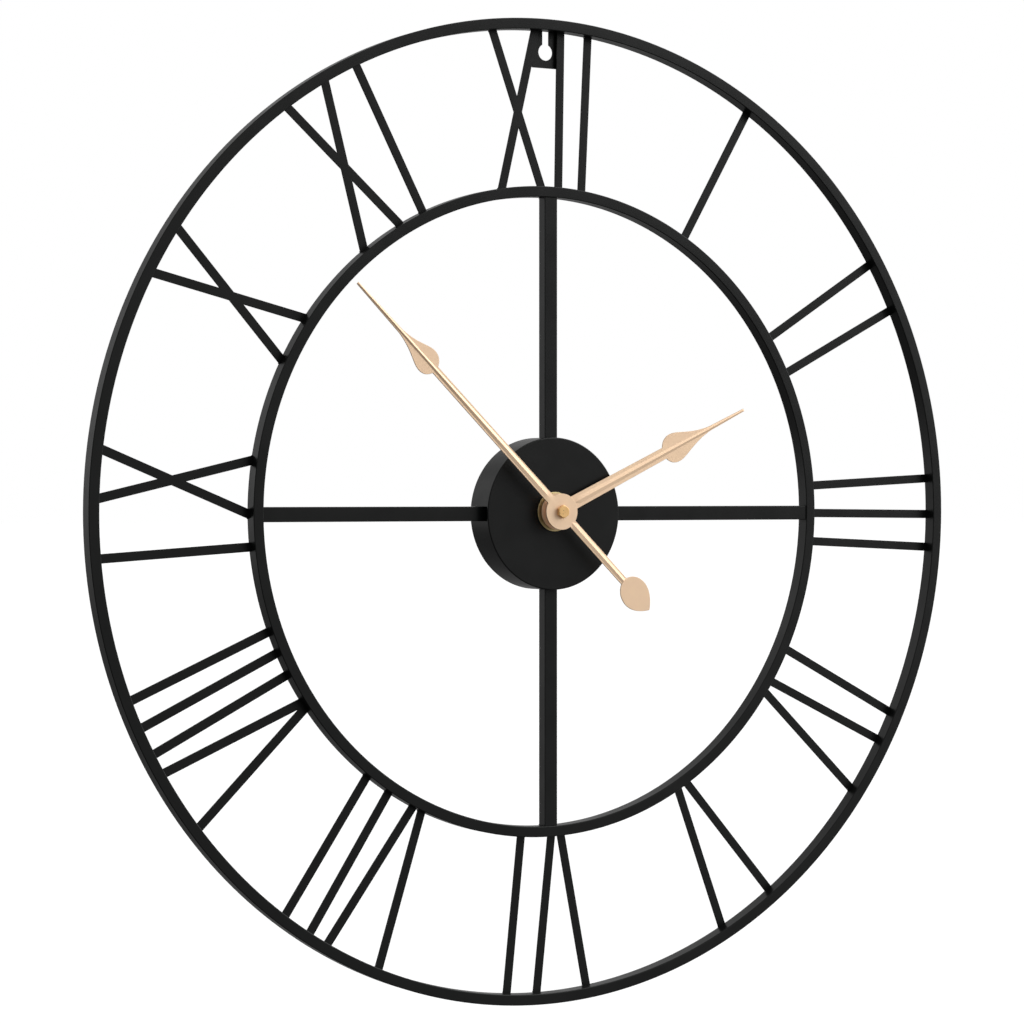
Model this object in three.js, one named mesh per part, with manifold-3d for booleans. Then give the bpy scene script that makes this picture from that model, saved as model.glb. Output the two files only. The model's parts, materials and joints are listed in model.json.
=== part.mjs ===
// A wall clock: an open frame of flat bar with Roman numerals, and a quartz movement in a round cover.
//
// Millimetres, +Z up, +X to the viewer's right. The dial faces -Y and the wall is on the +Y side.
// Every shape is drawn about the axis of the hands, X = Z = 0, with the backs of both rings at
// Y = 0. A depth range runs from its front (lower Y) to its back. The exported group moves all of
// it so that the origin is where the wall screw bears, at the top of the keyhole slot.

import * as THREE from "three";
import { mergeVertices } from "three/addons/utils/BufferGeometryUtils.js";
import Module from "manifold-3d";

const wasm = await Module();
wasm.setup();

// ---------------------------------------------------------------- driving dimensions

const GAP = 0.3; // between pieces that touch, and round pieces that turn
const PAST = 1; // how far a cutting solid runs past what it cuts

// Frame
const RING_DEPTH = 9;
const RING_SIDES = 96;
const OUTER_RING = { radius: 300, width: 6.6 };
const INNER_RING = { radius: 198.1, width: 6.5 };
const SPOKE = { width: 8.8, front: -8.2, back: -0.9 };
const STRIP = { width: 5.4, front: -1.9, back: -0.9 };

// Numeral pieces: name, hour, then one [inner, outer] pair for each strip of the piece. The pair
// says how far clockwise of the hour line the strip leaves the inner ring and meets the outer one.
const NUMERAL_PIECES = [
  ["i", 1, [3.5, 4]],
  ["ii_first", 2, [-11.5, -15]],
  ["ii_second", 2, [14, 18.5]],
  ["iii_first", 3, [-16, -21]],
  ["iii_second", 3, [1.5, 2.5]],
  ["iii_third", 3, [19.5, 24]],
  ["iv_i", 4, [-13.5, -17.5]],
  ["iv_v_left", 4, [10, 2.5]],
  ["iv_v_right", 4, [17, 40]],
  ["v_left", 5, [-5, -24]],
  ["v_right", 5, [1.5, 17.5]],
  ["vi_v_left", 6, [-12.5, -31]],
  ["vi_v_right", 6, [-6, 4.5]],
  ["vi_i", 6, [15.5, 25.5]],
  ["vii_v_left", 7, [-16.5, -37.5]],
  ["vii_v_right", 7, [-10, 0.5]],
  ["vii_i_first", 7, [9, 14]],
  ["vii_i_second", 7, [26.5, 33.5]],
  ["viii_v", 8, [-18.5, -42.5], [-14.5, -3]],
  ["viii_i_first", 8, [4.5, 9.5]],
  ["viii_i_second", 8, [19, 26.5]],
  ["viii_i_third", 8, [32.5, 43.5]],
  ["ix_i", 9, [-20, -26]],
  ["ix_x", 9, [-1, 37], [30.5, 7.5]],
  ["x", 10, [-11.5, 20.5], [17.5, -11]],
  ["xi_x", 11, [-29, -2], [0, -32]],
  ["xi_i", 11, [17.5, 21]],
  ["xii_x", 12, [-29, -5.5], [-1, -35.5]],
  ["xii_i_first", 12, [11, 12.5]],
  ["xii_i_second", 12, [27.5, 32]],
];

// Hanger: a plate on the backs of the outer ring and of the XII
const HANGER = { x: 3, width: 18.8, bottom: 271.3, top: 299, front: GAP, back: GAP + 1 };
const KEYHOLE = { headRadius: 5, headZ: 281, slotWidth: 4.5, slotZ: 293.8 };

// Hub: the spokes end on a round pan, and the cover slips over both. The cross of spokes was
// welded in a little low and to the right, and the pan and the cover sit just as low.
const CROSS = { x: 1.9, z: -1.2 };
const HUB_Z = CROSS.z;
const SPOKES = [
  { side: "top", offset: CROSS.x, hubReach: HUB_Z },
  { side: "right", offset: -CROSS.z, hubReach: 0 },
  { side: "bottom", offset: -CROSS.x, hubReach: -HUB_Z },
  { side: "left", offset: CROSS.z, hubReach: 0 },
];
const SHEET = 1.2;
const HUB_SIDES = 64;
const MOVEMENT_BOX = { radius: 42.2, front: -11.2, back: -0.8 };
const COVER = { radius: 46.3, front: -15, back: 6.4 };
const SPACER = { inner: 4.6, outer: 9 };

// Bush that clamps the movement, its washer and its nut
const BUSH = { bore: 3.1, radius: 4, front: -18.1, back: -8, flangeRadius: 5.6, flangeFront: -8.6 };
const BUSH_HOLE = BUSH.radius + GAP;
const WASHER = { radius: 12, front: -16.1, back: COVER.front - GAP };
const NUT = { radius: 7, front: -17.9, back: WASHER.front - GAP };

// Movement case and its battery bay
const CASE = { half: 28, corner: 3, wall: 1.2, front: -9.4, floor: 0.7, back: 3.4, roof: 1, seam: -2.6 };
const CASE_INSIDE = CASE.half - CASE.wall;
const CASE_FLOOR = CASE.front + CASE.floor;
const BAY = { top: -11.9, divider: 1 };
const CELL = { radius: 7.2, left: -24.8, shoulder: 24.6, right: 25.8, nubRadius: 2.7, y: -1.2 };
const CELL_Z = (BAY.top - CASE_INSIDE) / 2;
const CONTACT = { x: 26.2, thickness: 0.4, halfHeight: 5, front: -6, back: 2 };
const SPRING = { baseRadius: 3.4, tipRadius: 1.6 };

// Motion works: 12:36 and 10:40 teeth bring the minute arbor down to the hour wheel, 12 to 1
const PRESSURE_ANGLE = THREE.MathUtils.degToRad(25);
const ADDENDUM = 0.85;
const DEDENDUM = 1.2;
const BACKLASH = 0.14; // share of each tooth's thickness
const FAST_PAIR = { module: 0.5, pinion: 12, wheel: 36 };
const SLOW_PAIR = { module: 0.48, pinion: 10, wheel: 40 };
const CENTRE_DISTANCE = (FAST_PAIR.module * (FAST_PAIR.pinion + FAST_PAIR.wheel)) / 2;
const SETTING_DIRECTION = Math.PI / 6; // from the hands' axis to the setting arbor, above +X
const SETTING_X = CENTRE_DISTANCE * Math.cos(SETTING_DIRECTION);
const SETTING_Z = CENTRE_DISTANCE * Math.sin(SETTING_DIRECTION);
const HOUR_WHEEL = { front: -7.7, back: -6.7, bore: 1.9, tubeRadius: 2.7, tubeFront: -19.3 };
const MINUTE_ARBOR = {
  radius: 1.4,
  front: -26.4,
  gearFront: -6.3,
  gearBack: -5.1,
  pivot: 1.2,
  back: 2.1,
};
const MINUTE_WHEEL = {
  pinionFront: -7.9,
  front: -6.2,
  back: -5.2,
  arbor: 1.2,
  arborFront: -8.3,
  arborBack: 5.2,
};
const KNOB = { radius: 5.5, front: CASE.back + 0.5, back: 6.1, boreEnd: 5.5, sides: 20 };

// Motor
const ROTOR = {
  x: -8,
  z: 11.2,
  magnet: { radius: 3.1, front: -3.6, back: -1.2 },
  pinion: { radius: 1, front: -1.5, back: 0.6 },
  pivot: { radius: 0.5, front: -5, back: 2 },
};
const STATOR = {
  front: -2.8,
  back: -2,
  hole: 3.6,
  lobe: 5.5,
  halfSpan: 18.5,
  leg: 4,
  bottom: 8.5,
  bar: 5.4,
};
const COIL = { y: -2.4, z: 21.3, halfLength: 13, flange: 4.2, flangeWidth: 1.2, winding: 3.9, core: 2.4 };
const CORE = { halfHeight: 1.5, slot: 1.9 };
const BOARD = { left: 20, right: 26, bottom: -9, top: 20, front: -3.6, back: -2.8 };
const CHIP = { radius: 2.2, height: 0.8 };

// Hands: a round boss, a shank, a spade that ends in a needle, and on the minute hand a leaf.
// Each stretch is [half width, distance from the axis].
const BOSS_RADIUS = 11;
const MINUTE_HAND = {
  angle: -46,
  front: -24.4,
  back: -23.6,
  bore: 1.7,
  shank: { hub: 2.9, end: 2.6, length: 121 },
  bulge: { half: 8, at: 129 },
  needle: { half: 1.5, at: 153 },
  tip: { half: 0.8, at: 192.6 },
};
const HOUR_HAND = {
  angle: 65,
  front: -19.1,
  back: -18.3,
  bore: 3,
  shank: { hub: 4.25, end: 3.65, length: 85 },
  bulge: { half: 9.1, at: 93.5 },
  needle: { half: 1.4, at: 122 },
  tip: { half: 0.8, at: 150.4 },
};
const LEAF = { shank: 2.6, start: 61.5, half: 9.65, at: 72.5, tipHalf: 0.3, tip: 87 };
const CAP_NUT = { radius: 4, front: -27.1, back: -24.7, boreEnd: -26.7 };

// The curves of a spade and of a leaf, from the shank out to the widest place and on to the point.
// Each control point is [share of the widest half width, share of the stretch's length].
const SPADE_RISE = [[0.9, 0.25], [1, 0.65]];
const SPADE_FALL = [[1, 0.22], [0.35, 0.45]];
const LEAF_RISE = [[0.7, 0.15], [1, 0.5]];
const LEAF_FALL = [[1, 0.4], [0.57, 0.75]];

// ---------------------------------------------------------------- materials

const finish = (color, roughness, metalness) =>
  new THREE.MeshStandardMaterial({ color, roughness, metalness });
const BLACK_STEEL = finish(0x242524, 0.6, 0.3);
const ROSE_GOLD = finish(0xe6c8a5, 0.4, 0.7);
const BRASS = finish(0xc9a35a, 0.35, 0.9);
const BLACK_PLASTIC = finish(0x1c1c1e, 0.55, 0);
const WHITE_PLASTIC = finish(0xe8e4da, 0.5, 0);
const RUBBER = finish(0x181818, 0.9, 0);
const BRIGHT_STEEL = finish(0xb8babc, 0.35, 0.9);
const COPPER = finish(0xb5693c, 0.4, 0.8);
const GREEN_BOARD = finish(0x2f6b3c, 0.6, 0);
const CELL_WRAP = finish(0x3a4a63, 0.4, 0.2);

// ---------------------------------------------------------------- solids

// A closed geometry as a solid that can be joined and cut.
function solid(geometry) {
  geometry.deleteAttribute("normal");
  geometry.deleteAttribute("uv");
  const merged = mergeVertices(geometry, 1e-5);
  return new wasm.Manifold(
    new wasm.Mesh({
      numProp: 3,
      vertProperties: new Float32Array(merged.attributes.position.array),
      triVerts: new Uint32Array(merged.index.array),
    }),
  );
}

function geometryOf(body) {
  const { vertProperties, triVerts } = body.getMesh();
  const geometry = new THREE.BufferGeometry();
  geometry.setAttribute("position", new THREE.BufferAttribute(vertProperties, 3));
  geometry.setIndex(new THREE.BufferAttribute(triVerts, 1));
  geometry.computeVertexNormals();
  return geometry;
}

// A flat piece: an outline in X and Z, made solid from the depth `front` to the depth `back`.
function slab(outline, front, back, curveSegments = 16) {
  const settings = { depth: back - front, bevelEnabled: false, curveSegments };
  const geometry = new THREE.ExtrudeGeometry(outline, settings);
  geometry.rotateX(Math.PI / 2);
  geometry.translate(0, back, 0);
  return solid(geometry);
}

// A turned piece about the Y direction through (x, z). The [radius, Y] corners run round the
// section so that its outermost wall goes from front to back.
function turned(corners, sides = 32, x = 0, z = 0) {
  const points = [...corners, corners[0]].map(([radius, y]) => new THREE.Vector2(radius, y));
  const geometry = new THREE.LatheGeometry(points, sides);
  geometry.translate(x, 0, z);
  return solid(geometry);
}

function tube(inner, outer, front, back, sides = 32, x = 0, z = 0) {
  return turned([[outer, front], [outer, back], [inner, back], [inner, front]], sides, x, z);
}

function rod(radius, front, back, sides = 24, x = 0, z = 0) {
  const geometry = new THREE.CylinderGeometry(radius, radius, back - front, sides);
  geometry.translate(x, (front + back) / 2, z);
  return solid(geometry);
}

// A rod or cone that lies along X, from x = left to x = right.
function lyingRod(leftRadius, rightRadius, left, right, y, z, sides = 24) {
  const geometry = new THREE.CylinderGeometry(leftRadius, rightRadius, right - left, sides);
  geometry.rotateZ(Math.PI / 2);
  geometry.translate((left + right) / 2, y, z);
  return solid(geometry);
}

function box(left, right, front, back, bottom, top) {
  const geometry = new THREE.BoxGeometry(right - left, back - front, top - bottom);
  geometry.translate((left + right) / 2, (front + back) / 2, (bottom + top) / 2);
  return solid(geometry);
}

function joined(pieces) {
  return pieces.reduce((whole, piece) => whole.add(piece));
}

function circle(radius, x = 0, z = 0) {
  return new THREE.Shape().absarc(x, z, radius, 0, 2 * Math.PI);
}

// ---------------------------------------------------------------- frame

function ring({ radius, width }) {
  return tube(radius - width, radius, -RING_DEPTH, 0, RING_SIDES);
}

// The least distance from the axis to the flat sides of a ring's bore.
function boreFlat({ radius, width }) {
  return (radius - width) * Math.cos(Math.PI / RING_SIDES);
}

// Where a line through `start` along the unit vector `direction` leaves a circle about the axis.
function onCircle(start, direction, radius) {
  const along = start.dot(direction);
  const reach = Math.sqrt(radius ** 2 - start.lengthSq() + along ** 2) - along;
  return start.clone().addScaledVector(direction, reach);
}

// One numeral strip. `inner` and `outer` are its offsets clockwise of the hour line at the rings.
function strip(hour, inner, outer) {
  const angle = (hour * Math.PI) / 6;
  const outward = new THREE.Vector2(Math.sin(angle), Math.cos(angle));
  const clockwise = new THREE.Vector2(Math.cos(angle), -Math.sin(angle));
  const pointAt = (radius, offset) => {
    const reach = Math.sqrt(radius ** 2 - offset ** 2);
    return outward.clone().multiplyScalar(reach).addScaledVector(clockwise, offset);
  };
  const first = pointAt(INNER_RING.radius, inner);
  const last = pointAt(OUTER_RING.radius - OUTER_RING.width, outer);
  const direction = last.clone().sub(first).normalize();
  const sideways = new THREE.Vector2(direction.y, -direction.x).multiplyScalar(STRIP.width / 2);
  const edges = [first.clone().add(sideways), first.clone().sub(sideways)];
  const startRadius = INNER_RING.radius + GAP;
  const endRadius = boreFlat(OUTER_RING) - GAP;
  const [startA, startB] = edges.map((edge) => onCircle(edge, direction, startRadius));
  const [endA, endB] = edges.map((edge) => onCircle(edge, direction, endRadius));
  return slab(new THREE.Shape([startA, endA, endB, startB]), STRIP.front, STRIP.back);
}

function numeralPiece(hour, strips) {
  return joined(strips.map(([inner, outer]) => strip(hour, inner, outer)));
}

// A spoke as it would stand above the axis. It is `offset` clockwise of the line through the axis,
// and starts at the pan, whose centre is `hubReach` out along that line.
function spoke({ offset, hubReach }) {
  const start = MOVEMENT_BOX.radius + hubReach + GAP;
  const corner = Math.abs(offset) + SPOKE.width / 2;
  const end = Math.sqrt(boreFlat(INNER_RING) ** 2 - corner ** 2) - GAP;
  const left = offset - SPOKE.width / 2;
  return box(left, left + SPOKE.width, SPOKE.front, SPOKE.back, start, end);
}

function hangerPlate() {
  const left = HANGER.x - HANGER.width / 2;
  const right = HANGER.x + HANGER.width / 2;
  const plate = box(left, right, HANGER.front, HANGER.back, HANGER.bottom, HANGER.top);
  const front = HANGER.front - PAST;
  const back = HANGER.back + PAST;
  const head = slab(circle(KEYHOLE.headRadius, HANGER.x, KEYHOLE.headZ), front, back);
  const half = KEYHOLE.slotWidth / 2;
  const slotOutline = new THREE.Shape();
  slotOutline.moveTo(HANGER.x - half, KEYHOLE.headZ);
  slotOutline.lineTo(HANGER.x + half, KEYHOLE.headZ);
  slotOutline.lineTo(HANGER.x + half, KEYHOLE.slotZ);
  slotOutline.absarc(HANGER.x, KEYHOLE.slotZ, half, 0, Math.PI);
  const slot = slab(slotOutline, front, back, 6);
  return plate.subtract(head.add(slot));
}

// ---------------------------------------------------------------- hub

// A round pan that is open at the back, with a hole for the bush on the axis of the hands.
function pan({ radius, front, back }) {
  const corners = [
    [radius, front],
    [radius, back],
    [radius - SHEET, back],
    [radius - SHEET, front + SHEET],
    [0, front + SHEET],
    [0, front],
  ];
  const hole = rod(BUSH_HOLE, front - PAST, front + SHEET + PAST, 32);
  return turned(corners, HUB_SIDES, 0, HUB_Z).subtract(hole);
}

// The cover has a slot for each spoke, from its rim to the inside of its face.
function roundCover() {
  const half = SPOKE.width / 2 + GAP;
  const reach = COVER.radius - HUB_Z + PAST;
  const front = COVER.front + SHEET;
  const back = COVER.back + PAST;
  const across = box(-reach, reach, front, back, CROSS.z - half, CROSS.z + half);
  const upright = box(CROSS.x - half, CROSS.x + half, front, back, -reach, reach);
  return pan(COVER).subtract(across.add(upright));
}

function coverSpacer() {
  const front = COVER.front + SHEET + GAP;
  return tube(SPACER.inner, SPACER.outer, front, MOVEMENT_BOX.front - GAP);
}

function threadedBush() {
  const flange = tube(BUSH.bore, BUSH.flangeRadius, BUSH.flangeFront, BUSH.back);
  return tube(BUSH.bore, BUSH.radius, BUSH.front, BUSH.back).add(flange);
}

// ---------------------------------------------------------------- movement case

function roundedSquare(half, corner) {
  const inner = half - corner;
  const outline = new THREE.Shape();
  outline.absarc(inner, inner, corner, 0, Math.PI / 2);
  outline.absarc(-inner, inner, corner, Math.PI / 2, Math.PI);
  outline.absarc(-inner, -inner, corner, Math.PI, 1.5 * Math.PI);
  outline.absarc(inner, -inner, corner, 1.5 * Math.PI, 2 * Math.PI);
  return outline;
}

function caseBlock(front, back) {
  return slab(roundedSquare(CASE.half, CASE.corner), front, back, 3);
}

// The front case holds the wheels, and behind its divider the battery bay, which is open at the back.
function frontCase() {
  const far = CASE.back + PAST;
  const side = CASE.half + PAST;
  const dividerTop = BAY.top + BAY.divider;
  const wheels = box(-CASE_INSIDE, CASE_INSIDE, CASE_FLOOR, far, dividerTop, CASE_INSIDE);
  const bay = box(-CASE_INSIDE, CASE_INSIDE, CASE_FLOOR, far, -CASE_INSIDE, BAY.top);
  const rear = box(-side, side, CASE.seam - GAP, far, BAY.top, side);
  const hole = rod(BUSH_HOLE, CASE.front - PAST, CASE_FLOOR + PAST);
  return caseBlock(CASE.front, CASE.back).subtract(joined([wheels, bay, rear, hole]));
}

// The rear case closes the wheels' side, from the divider up.
function rearCase() {
  const bottom = BAY.top + GAP;
  const side = CASE.half + PAST;
  const seam = CASE.seam - PAST;
  const below = box(-side, side, seam, CASE.back + PAST, -side, bottom);
  const roof = CASE.back - CASE.roof;
  const hollow = box(-CASE_INSIDE, CASE_INSIDE, seam, roof, bottom + BAY.divider, CASE_INSIDE);
  const holeRadius = MINUTE_WHEEL.arbor + GAP;
  const hole = rod(holeRadius, roof - PAST, CASE.back + PAST, 24, SETTING_X, SETTING_Z);
  return caseBlock(CASE.seam, CASE.back).subtract(joined([below, hollow, hole]));
}

// ---------------------------------------------------------------- battery

function cell() {
  const { radius, nubRadius, left, shoulder, right, y } = CELL;
  const body = lyingRod(radius, radius, left, shoulder, y, CELL_Z, 28);
  const nub = lyingRod(nubRadius, nubRadius, shoulder - PAST, right, y, CELL_Z, 16);
  return body.add(nub);
}

// A contact plate at one end of the bay: side is +1 or -1.
function contactPlate(side) {
  const near = side * CONTACT.x;
  const far = side * (CONTACT.x + CONTACT.thickness);
  const bottom = CELL_Z - CONTACT.halfHeight;
  const top = CELL_Z + CONTACT.halfHeight;
  return box(Math.min(near, far), Math.max(near, far), CONTACT.front, CONTACT.back, bottom, top);
}

// The negative contact carries a conical spring that ends just short of the cell.
function springContact() {
  const start = -CONTACT.x - CONTACT.thickness / 2;
  const { baseRadius, tipRadius } = SPRING;
  const spring = lyingRod(baseRadius, tipRadius, start, CELL.left - GAP, CELL.y, CELL_Z, 16);
  return contactPlate(-1).add(spring);
}

// ---------------------------------------------------------------- motion works

const involute = (angle) => Math.tan(angle) - angle;

// Spur gear outline with a tooth centred on the direction `phase`, an angle from +X towards +Z.
function gearOutline(teeth, module, phase, x = 0, z = 0) {
  const pitch = (teeth * module) / 2;
  const base = pitch * Math.cos(PRESSURE_ANGLE);
  const radii = [pitch - DEDENDUM * module, pitch, pitch + ADDENDUM * module];
  const halfAngles = radii.map((radius) => {
    const pressure = Math.acos(base / Math.max(radius, base));
    const pitchHalf = (Math.PI / (2 * teeth)) * (1 - BACKLASH);
    return pitchHalf + involute(PRESSURE_ANGLE) - involute(pressure);
  });
  const points = [];
  const addPoint = (radius, angle) =>
    points.push(new THREE.Vector2(x + radius * Math.cos(angle), z + radius * Math.sin(angle)));
  for (let tooth = 0; tooth < teeth; tooth += 1) {
    const middle = phase + (tooth * 2 * Math.PI) / teeth;
    const flank = radii.map((radius, index) => [radius, halfAngles[index]]);
    flank.forEach(([radius, half]) => addPoint(radius, middle - half));
    flank.toReversed().forEach(([radius, half]) => addPoint(radius, middle + half));
  }
  return new THREE.Shape(points);
}

// Each pinion has a tooth on the line of centres, and the wheel that it turns has a gap there.
function minuteArbor() {
  const { radius, front, gearFront, gearBack, pivot: pivotRadius, back } = MINUTE_ARBOR;
  const outline = gearOutline(FAST_PAIR.pinion, FAST_PAIR.module, SETTING_DIRECTION);
  const gear = slab(outline, gearFront, gearBack);
  const shaft = rod(radius, front, gearBack);
  const pivot = rod(pivotRadius, gearBack - PAST, back);
  return joined([gear, shaft, pivot]);
}

function minuteWheel() {
  const facing = SETTING_DIRECTION + Math.PI;
  const wheelPhase = facing + Math.PI / FAST_PAIR.wheel;
  const centre = [SETTING_X, SETTING_Z];
  const wheelOutline = gearOutline(FAST_PAIR.wheel, FAST_PAIR.module, wheelPhase, ...centre);
  const pinionOutline = gearOutline(SLOW_PAIR.pinion, SLOW_PAIR.module, facing, ...centre);
  const { pinionFront, front, back, arbor, arborFront, arborBack } = MINUTE_WHEEL;
  return joined([
    slab(wheelOutline, front, back),
    slab(pinionOutline, pinionFront, back),
    rod(arbor, arborFront, arborBack, 20, ...centre),
  ]);
}

function hourWheel() {
  const phase = SETTING_DIRECTION + Math.PI / SLOW_PAIR.wheel;
  const { front, back, bore, tubeRadius, tubeFront } = HOUR_WHEEL;
  const gear = slab(gearOutline(SLOW_PAIR.wheel, SLOW_PAIR.module, phase), front, back);
  const tubeBody = rod(tubeRadius, tubeFront, back);
  return gear.add(tubeBody).subtract(rod(bore, tubeFront - PAST, back + PAST));
}

function setKnob() {
  const bore = MINUTE_WHEEL.arbor + GAP;
  const body = rod(KNOB.radius, KNOB.front, KNOB.back, KNOB.sides, SETTING_X, SETTING_Z);
  return body.subtract(rod(bore, KNOB.front - PAST, KNOB.boreEnd, 20, SETTING_X, SETTING_Z));
}

// ---------------------------------------------------------------- motor

function rotor() {
  const { x, z, magnet, pinion, pivot } = ROTOR;
  const parts = [magnet, pinion, pivot].map((part) => rod(part.radius, part.front, part.back, 24, x, z));
  return joined(parts);
}

// A lamination round the rotor, with two legs and the core that passes through the coil.
function stator() {
  const { front, back, halfSpan, leg, bottom, bar } = STATOR;
  const top = COIL.z + CORE.halfHeight;
  const parts = [
    box(-halfSpan, halfSpan, front, back, bottom, bottom + bar),
    box(-halfSpan, leg - halfSpan, front, back, bottom, top),
    box(halfSpan - leg, halfSpan, front, back, bottom, top),
    box(-halfSpan, halfSpan, front, back, COIL.z - CORE.halfHeight, top),
    rod(STATOR.lobe, front, back, 32, ROTOR.x, ROTOR.z),
  ];
  return joined(parts).subtract(rod(STATOR.hole, front - PAST, back + PAST, 32, ROTOR.x, ROTOR.z));
}

function coilBobbin() {
  const { y, z, halfLength, flange, flangeWidth, core } = COIL;
  const parts = [
    lyingRod(flange, flange, -halfLength, flangeWidth - halfLength, y, z),
    lyingRod(flange, flange, halfLength - flangeWidth, halfLength, y, z),
    lyingRod(core, core, -halfLength, halfLength, y, z),
  ];
  const reach = halfLength + PAST;
  const front = STATOR.front - GAP;
  const back = STATOR.back + GAP;
  return joined(parts).subtract(box(-reach, reach, front, back, z - CORE.slot, z + CORE.slot));
}

function coilWinding() {
  const { y, z, halfLength, flangeWidth, winding, core } = COIL;
  const reach = halfLength - flangeWidth - GAP;
  const outside = lyingRod(winding, winding, -reach, reach, y, z);
  return outside.subtract(lyingRod(core + GAP, core + GAP, -reach - PAST, reach + PAST, y, z));
}

function circuitBoard() {
  const { left, right, bottom, top, front, back } = BOARD;
  const middle = [(left + right) / 2, (bottom + top) / 2];
  const chip = rod(CHIP.radius, front, back + CHIP.height, 16, ...middle);
  return box(left, right, front, back, bottom, top).add(chip);
}

// ---------------------------------------------------------------- hands

// An outline that is the same on both sides of the Z axis, from the path of its right side.
function mirrored(path) {
  const right = path.getPoints(8);
  const left = right.toReversed().map((point) => new THREE.Vector2(-point.x, point.y));
  return new THREE.Shape([...right, ...left]);
}

// Goes on from where the path is, at the distance `from`, along a curve whose control points are
// shares of `width` and of the way to `to`, and ends there at the half width `endHalf`.
function bulgeTo(path, controls, width, from, to, endHalf) {
  const [first, second] = controls.map(([share, along]) => [share * width, from + along * (to - from)]);
  path.bezierCurveTo(...first, ...second, endHalf, to);
}

// The shank, the spade and the needle of a hand that points along +Z.
function pointerOutline({ shank, bulge, needle, tip }) {
  const path = new THREE.Path();
  path.moveTo(shank.hub, 0);
  path.lineTo(shank.end, shank.length);
  bulgeTo(path, SPADE_RISE, bulge.half, shank.length, bulge.at, bulge.half);
  bulgeTo(path, SPADE_FALL, bulge.half, bulge.at, needle.at, needle.half);
  path.lineTo(tip.half, tip.at);
  return mirrored(path);
}

// The counterweight: a shank and a leaf with its point outwards, along -Z.
function leafOutline() {
  const path = new THREE.Path();
  path.moveTo(LEAF.shank, 0);
  path.lineTo(LEAF.shank, -LEAF.start);
  bulgeTo(path, LEAF_RISE, LEAF.half, -LEAF.start, -LEAF.at, LEAF.half);
  bulgeTo(path, LEAF_FALL, LEAF.half, -LEAF.at, -LEAF.tip, LEAF.tipHalf);
  return mirrored(path);
}

function hand(spec, outlines) {
  const { front, back, bore } = spec;
  const flats = [circle(BOSS_RADIUS), ...outlines].map((outline) => slab(outline, front, back));
  return joined(flats).subtract(rod(bore, front - PAST, back + PAST));
}

function capNut() {
  const hexagon = rod(CAP_NUT.radius, CAP_NUT.front, CAP_NUT.back, 6);
  return hexagon.subtract(rod(MINUTE_HAND.bore, CAP_NUT.boreEnd, CAP_NUT.back + PAST));
}

function bushNut() {
  const hole = rod(BUSH_HOLE, NUT.front - PAST, NUT.back + PAST);
  return rod(NUT.radius, NUT.front, NUT.back, 6).subtract(hole);
}

// ---------------------------------------------------------------- assembly

const dial = new THREE.Group();

// Adds a named piece, turned clockwise about the axis of the hands by `turn` degrees.
function place(name, body, material, turn = 0) {
  const mesh = new THREE.Mesh(geometryOf(body), material);
  mesh.name = name;
  mesh.rotation.y = THREE.MathUtils.degToRad(turn);
  dial.add(mesh);
}

place("outer_ring", ring(OUTER_RING), BLACK_STEEL);
place("inner_ring", ring(INNER_RING), BLACK_STEEL);
SPOKES.forEach((spec, index) =>
  place(`spoke_${spec.side}`, spoke(spec), BLACK_STEEL, 90 * index),
);
for (const [name, hour, ...strips] of NUMERAL_PIECES) {
  place(`numeral_${name}`, numeralPiece(hour, strips), BLACK_STEEL);
}
place("hanger_plate", hangerPlate(), BLACK_STEEL);

place("movement_box", pan(MOVEMENT_BOX), BLACK_STEEL);
place("round_cover", roundCover(), BLACK_STEEL);
place("cover_spacer", coverSpacer(), RUBBER);
place("threaded_bush", threadedBush(), BRASS);
place("bush_washer", tube(BUSH_HOLE, WASHER.radius, WASHER.front, WASHER.back, 40), BRASS);
place("bush_nut", bushNut(), BRASS);

place("front_case", frontCase(), BLACK_PLASTIC);
place("rear_case", rearCase(), BLACK_PLASTIC);
place("aa_cell", cell(), CELL_WRAP);
place("contact_positive", contactPlate(1), BRIGHT_STEEL);
place("contact_negative", springContact(), BRIGHT_STEEL);

place("minute_arbor", minuteArbor(), WHITE_PLASTIC);
place("minute_wheel", minuteWheel(), WHITE_PLASTIC);
place("hour_wheel", hourWheel(), WHITE_PLASTIC);
place("set_knob", setKnob(), BLACK_PLASTIC);

place("rotor", rotor(), BRIGHT_STEEL);
place("stator", stator(), BRIGHT_STEEL);
place("coil_bobbin", coilBobbin(), WHITE_PLASTIC);
place("coil_winding", coilWinding(), COPPER);
place("circuit_board", circuitBoard(), GREEN_BOARD);

place("hour_hand", hand(HOUR_HAND, [pointerOutline(HOUR_HAND)]), ROSE_GOLD, HOUR_HAND.angle);
const minuteOutlines = [pointerOutline(MINUTE_HAND), leafOutline()];
place("minute_hand", hand(MINUTE_HAND, minuteOutlines), ROSE_GOLD, MINUTE_HAND.angle);
place("cap_nut", capNut(), BRASS);

dial.position.set(-HANGER.x, -HANGER.back, -KEYHOLE.slotZ);

const clock = new THREE.Group();
clock.add(dial);

export default clock;
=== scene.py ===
"""The looks of the wall clock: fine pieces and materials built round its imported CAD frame.

Pieces are drawn in millimetres about the axis of the hands: X to the viewer's right, Z up, and Y = 0
at the backs of the two rings, with the front on the -Y side. TO_FRAME carries them into the frame.
"""

import json
import math

import bmesh
import bpy
from mathutils import Matrix, Vector
from mathutils.geometry import delaunay_2d_cdt


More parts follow.
